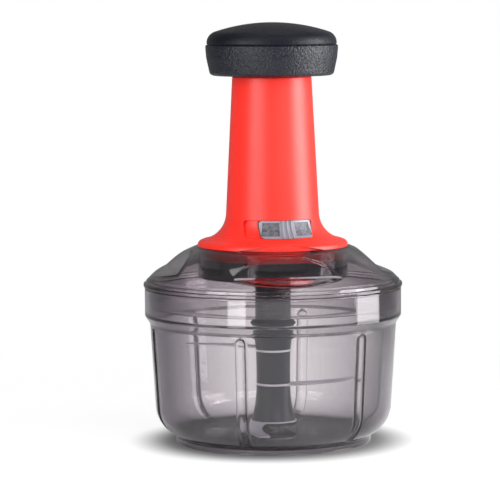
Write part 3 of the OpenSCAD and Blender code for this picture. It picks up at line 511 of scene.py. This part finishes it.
# The lid is a closed section turned round the axis: the dome's outside, the rim and skirt, the dome's inside
# and the tube round the works
def makeLid():
    d = lid
    angle = np.arange(d["columns"]) * 2 * math.pi / d["columns"]
    turn = 2 * math.pi / d["facets"]
    fromFacet = (angle + turn / 2) % turn - turn / 2
    outR = np.linspace(d["landR"] + d["outGap"], d["shoulderR"] - d["outGap"], d["outRows"])
    inR = np.linspace(d["skirtInR"] - d["inGap"], d["tubeR"] + d["inGap"], d["inRows"])
    outZ, inZ = domeHeight(outR, fromFacet, 0), domeHeight(inR, fromFacet, d["wall"])
    outLowZ, inLowZ, inHighZ = outZ[-1].mean(), inZ[0].mean(), inZ[-1].mean()
    topCorner = (d["shoulderR"] + d["shoulderTop"][0], d["shoulderZ"] + d["shoulderTop"][1])
    footCorner = (d["shoulderR"] + d["shoulderFoot"][0], d["flangeTopZ"] + d["shoulderFoot"][1])
    bend, wall, edge = d["bendStep"], d["wallStep"], d["edgeRound"]
    rim = roundedPath([(outR[-1], outLowZ, 0, bend), (*topCorner, d["shoulderTopRound"], bend),
                       (*footCorner, d["shoulderFootRound"], bend),
                       (d["flangeR"], d["flangeTopZ"], d["flangeRound"], bend),
                       (d["flangeR"], d["flangeZ"], d["flangeLowRound"], bend),
                       (d["skirtR"], d["flangeZ"], d["skirtTopRound"], wall),
                       (d["skirtR"], d["skirtZ"], edge, bend), (d["skirtInR"], d["skirtZ"], edge, wall),
                       (d["skirtInR"], inLowZ - d["skirtDrop"], 0, bend), (inR[0], inLowZ, 0, bend)])
    tube = roundedPath([(inR[-1], inHighZ, 0, bend),
                        (d["tubeR"], inHighZ - d["tubeDrop"], d["tubeTopRound"], wall),
                        (d["tubeR"], d["tubeZ"], edge, bend), (d["landInR"], d["tubeZ"], edge, wall),
                        (d["landInR"], d["landZ"], edge, bend), (d["landR"], d["landZ"], 0, bend)])
    allRound = np.ones(d["columns"])

    def turned(path):
        return path[:, :1] * allRound, path[:, 1:] * allRound

    parts = [(outR[:, None] * allRound, outZ), turned(rim[1:-1]), (inR[:, None] * allRound, inZ),
             turned(tube[1:])]
    radius, height = (np.vstack([part[k] for part in parts]) for k in (0, 1))
    grid = np.stack([radius * np.cos(angle), radius * np.sin(angle), height], axis=2)
    piece = gridPiece("lid_moulded", grid, True)
    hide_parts("lid")
    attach(piece, "lid")
    return piece


spring = {
    "coilR": 15.0, "wire": 2.0, "turns": 9,    # mm: from the axis to the wire's middle, and across the wire
    "endRise": 1.02,                           # in wires, over the closed first and last turn
    "stepsPerTurn": 40, "wireSides": 12,
}


# A round wire on a helix: it rises by endRise wires in the first and last turn, and evenly between them
def makeSpring():
    low, high = (np.array(c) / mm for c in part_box("return_spring"))
    d = spring
    half, endRise = d["wire"] / 2, d["wire"] * d["endRise"]
    rise = high[2] - low[2] - d["wire"]
    s = np.linspace(0, d["turns"], d["turns"] * d["stepsPerTurn"])
    z = low[2] + half + np.interp(s, [0, 1, d["turns"] - 1, d["turns"]], [0, endRise, rise - endRise, rise])
    turn = 2 * math.pi * s[:, None]
    around = np.linspace(0, 2 * math.pi, d["wireSides"], endpoint=False)[None]
    r = d["coilR"] + half * np.cos(around)
    grid = np.stack([r * np.cos(turn), r * np.sin(turn), z[:, None] + half * np.sin(around)], axis=2)
    piece = gridPiece("return_spring_wound", grid, False)
    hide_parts("return_spring")
    return piece, low[2] * mm, high[2] * mm


bowlPiece = makeBowl()
lidPiece = makeLid()
springPiece, springLow, springHigh = makeSpring()
print("bowl, lid and spring done")


moulding = {
    "flowMm": 35, "flowDetail": 3.0,
    "grainDetail": 2.0,
    "variation": 0.04,           # share by which the flow marks change the colour, up and down
    "noiseSpan": (0.3, 0.7),     # most of the noise lies in this range
    "glossSpread": 0.03,         # change in roughness by the flow marks, up and down
    "sparkleSpread": 0.2,        # what a sparkle of 1 adds to that
    "ior": 1.5,
}


# Injection-moulded ABS or nylon: even colour, faint flow marks in its gloss, and the mould's spark-eroded
# grain. Sparkle is the grain's share in the gloss, which scatters highlights into small sparks, and shine
# is their strength.
def mouldedPlastic(name, colour, roughness, grainMm, grainDepthMm, sparkle=0.0, shine=0.5):
    material, tree = newMaterial(name)
    place = addNode(tree, "ShaderNodeTexCoord").outputs["Object"]
    grain = addNoise(tree, place, grainMm, moulding["grainDetail"])
    flow = addNoise(tree, place, moulding["flowMm"], moulding["flowDetail"])
    base = np.array(linearColour(colour)[:3])
    darker, lighter = base * (1 - moulding["variation"]), np.minimum(base * (1 + moulding["variation"]), 1)
    tint = mixColours(tree, flow, [*darker, 1], [*lighter, 1])
    spread = moulding["glossSpread"] + moulding["sparkleSpread"] * sparkle
    gloss = ramp(tree, mixValues(tree, sparkle, flow, grain), moulding["noiseSpan"],
                 (roughness - spread, roughness + spread))
    skin = addNode(tree, "ShaderNodeBsdfPrincipled",
                   {"Base Color": tint, "Roughness": gloss, "IOR": moulding["ior"],
                    "Specular IOR Level": shine, "Normal": addBump(tree, grain, grainDepthMm)})
    finish(tree, skin.outputs[0])
    return material


styrene = {
    "rippleMm": 24, "rippleDetail": 1.0, "rippleDepthMm": 0.3, "rippleStrength": 0.25,
    "throughTint": "#FDFCFD",    # where the eye looks straight through a wall
    "slantSpan": (0.0, 0.55),    # slant of the view over which that turns into the edge's tint
    "roughness": 0.015, "ior": 1.54,
}


# Clear styrene with a little smoke in it: bright where the eye looks straight through a wall and darker
# where it looks along one, with the slight waviness of a moulded face. Light on its way to what stands
# inside loses only the shadow's tint.
def smokyPlastic(name, smokeColour, density, edgeTint, shadowTint):
    material, tree = newMaterial(name)
    place = addNode(tree, "ShaderNodeTexCoord").outputs["Object"]
    ripple = addNoise(tree, place, styrene["rippleMm"], styrene["rippleDetail"])
    slant = addNode(tree, "ShaderNodeLayerWeight", {"Blend": 0.5}).outputs["Facing"]
    tint = mixColours(tree, ramp(tree, slant, styrene["slantSpan"]), linearColour(styrene["throughTint"]),
                      linearColour(edgeTint))
    clear = addNode(tree, "ShaderNodeBsdfPrincipled",
                    {"Base Color": tint, "Roughness": styrene["roughness"], "IOR": styrene["ior"],
                     "Transmission Weight": 1.0,
                     "Normal": addBump(tree, ripple, styrene["rippleDepthMm"], styrene["rippleStrength"])})
    inShadow = addNode(tree, "ShaderNodeBsdfTransparent", {"Color": linearColour(shadowTint)})
    path = addNode(tree, "ShaderNodeLightPath")
    surface = mixShaders(tree, path.outputs["Is Shadow Ray"], clear.outputs[0], inShadow.outputs[0])
    smoke = addNode(tree, "ShaderNodeVolumeAbsorption",
                    {"Color": linearColour(smokeColour), "Density": density})
    finish(tree, surface, smoke.outputs[0])
    return material


lock = {
    "rimColour": "#84848D", "leftPad": "#54545B", "rightPad": "#585760",
    "flareOutR": 45.0, "flareRound": 16.7, "flareTopZ": 140.1,   # mm, the tower's flare behind the slider
    "rimSpan": (0.42, 0.58),      # mm over the flare, from pad to rim
    "padSpan": (3, 6),            # mm in x, from the left pad to the right one
    "gripMm": 2.3, "gripDetail": 1.0, "gripDistortion": 1.2, "gripDepthMm": 0.5,
    "gripSpan": (0.38, 0.62), "gripShade": (0.62, 1.45),   # the noise, and what it multiplies the pads by
    "metallic": 0.12, "roughness": 0.40,
}


# Grey metallic ABS: light rims and ribs, and darker pads with a coarse grip pattern. The pads lie lower
# than the rims, so the two are told apart by how far they stand proud of the tower's flare, whose radius at
# a height z is flareOutR - sqrt(flareRound ** 2 - (flareTopZ - z) ** 2)
def lockPlastic(name):
    material, tree = newMaterial(name)
    place = addNode(tree, "ShaderNodeTexCoord").outputs["Object"]
    split = addNode(tree, "ShaderNodeSeparateXYZ", {"Vector": place})
    x, y, z = (split.outputs[axis] for axis in "XYZ")
    radius = maths(tree, "SQRT", maths(tree, "ADD", maths(tree, "MULTIPLY", x, x),
                                       maths(tree, "MULTIPLY", y, y)))
    below = maths(tree, "SUBTRACT", lock["flareTopZ"] * mm, z)
    arc = maths(tree, "SQRT", maths(tree, "SUBTRACT", (lock["flareRound"] * mm) ** 2,
                                    maths(tree, "MULTIPLY", below, below)))
    proud = maths(tree, "ADD", maths(tree, "SUBTRACT", radius, lock["flareOutR"] * mm), arc)
    rim = ramp(tree, proud, [edge * mm for edge in lock["rimSpan"]])
    toRight = ramp(tree, x, [edge * mm for edge in lock["padSpan"]])
    pads = mixColours(tree, toRight, linearColour(lock["leftPad"]), linearColour(lock["rightPad"]))
    grip = addNoise(tree, place, lock["gripMm"], lock["gripDetail"], lock["gripDistortion"])
    worn = ramp(tree, grip, lock["gripSpan"], lock["gripShade"])
    gripped = mixColours(tree, 1.0, pads, worn, blend="MULTIPLY")
    colour = mixColours(tree, rim, gripped, linearColour(lock["rimColour"]))
    onPads = maths(tree, "SUBTRACT", 1.0, rim)
    skin = addNode(tree, "ShaderNodeBsdfPrincipled",
                   {"Base Color": colour, "Metallic": lock["metallic"], "Roughness": lock["roughness"],
                    "Normal": addBump(tree, grip, lock["gripDepthMm"], onPads)})
    finish(tree, skin.outputs[0])
    return material


steelLines = {
    "detail": 3.0,
    "glossSpread": 0.06,         # change in roughness by the lines, up and down
    "depthMm": 0.02, "strength": 0.4,
}


# Cold-rolled, turned or ground steel: a metal with fine lines that stretch its highlights
def brightSteel(name, colour, roughness, lineMm, stretch, metallic=1.0):
    material, tree = newMaterial(name)
    place = addNode(tree, "ShaderNodeTexCoord").outputs["Object"]
    stretched = addNode(tree, "ShaderNodeMapping", {"Vector": place, "Scale": stretch}).outputs[0]
    lines = addNoise(tree, stretched, lineMm, steelLines["detail"])
    spread = steelLines["glossSpread"]
    gloss = ramp(tree, lines, (0.0, 1.0), (roughness - spread, roughness + spread))
    metal = addNode(tree, "ShaderNodeBsdfPrincipled",
                    {"Base Color": linearColour(colour), "Metallic": metallic, "Roughness": gloss,
                     "Normal": addBump(tree, lines, steelLines["depthMm"], steelLines["strength"])})
    finish(tree, metal.outputs[0])
    return material


finishes = {
    "redShell": mouldedPlastic("satin red ABS", "#EE2B20", roughness=0.38, grainMm=0.35,
                               grainDepthMm=0.006),
    "tubeRed": mouldedPlastic("red ABS tube", "#D8322A", roughness=0.30, grainMm=0.4, grainDepthMm=0.004),
    "knobCap": mouldedPlastic("charcoal ABS cap", "#0A0B16", roughness=0.42, grainMm=1.1, grainDepthMm=0.30,
                              sparkle=0.6, shine=0.30),
    "knobBody": mouldedPlastic("spark-grained charcoal ABS", "#0C0E1A", roughness=0.36, grainMm=1.3,
                               grainDepthMm=0.80, sparkle=0.8, shine=0.44),
    "darkPart": mouldedPlastic("slate nylon", "#050A1C", roughness=0.36, grainMm=0.9, grainDepthMm=0.002,
                               shine=0.20),
    "greyLock": lockPlastic("grey metallic ABS"),
    "slipWhite": mouldedPlastic("natural acetal", "#D9D6CC", roughness=0.4, grainMm=0.5, grainDepthMm=0.01),
    "clearBowl": smokyPlastic("smoky clear styrene", "#7C4669", density=94.0, edgeTint="#7F7A84",
                              shadowTint="#E4E2E6"),
    "smokyLid": smokyPlastic("smoky lid styrene", "#7C4669", density=104.0, edgeTint="#B8B4B8",
                             shadowTint="#DEDCE0"),
    "steel": brightSteel("turned bright steel", "#B9B9BC", roughness=0.28, lineMm=0.3,
                         stretch=(0.3, 0.3, 3.0)),
    "blade": brightSteel("ground stainless strip", "#CACAD0", roughness=0.32, lineMm=0.25,
                         stretch=(0.08, 1.0, 1.0), metallic=0.45),
}

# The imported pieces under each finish
dressed = {
    "redShell": ["tower"],
    "tubeRed": ["plunger_tube"],
    "knobCap": ["knob_cap"],
    "knobBody": ["knob_body"],
    "darkPart": ["base_cover", "clutch_driver", "drive_socket", "column_shoulder", "column_upper",
                 "column_lower", "column_foot"],
    "greyLock": ["lock_slider", "lock_catch"],
    "slipWhite": ["rod_bush", "drive_nut"],
    "clearBowl": ["bowl"],
    "smokyLid": ["lid"],
    "steel": ["bowl_pin", "base_screws", "knob_screws", "nut_ring", "return_spring", "drive_rod",
              "rod_clip", "blade_sleeve"],
    "blade": ["blade_upper", "blade_middle", "blade_lower"],
}


def dressPieces():
    for finishName, names in dressed.items():
        for name in names:
            mesh = nodes[name].data
            mesh.materials.clear()
            mesh.materials.append(finishes[finishName])
    bowlPiece.data.materials.append(finishes["clearBowl"])
    lidPiece.data.materials.append(finishes["smokyLid"])
    springPiece.data.materials.append(finishes["steel"])


dressPieces()
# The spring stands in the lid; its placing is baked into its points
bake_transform(springPiece)
print("finishes done")
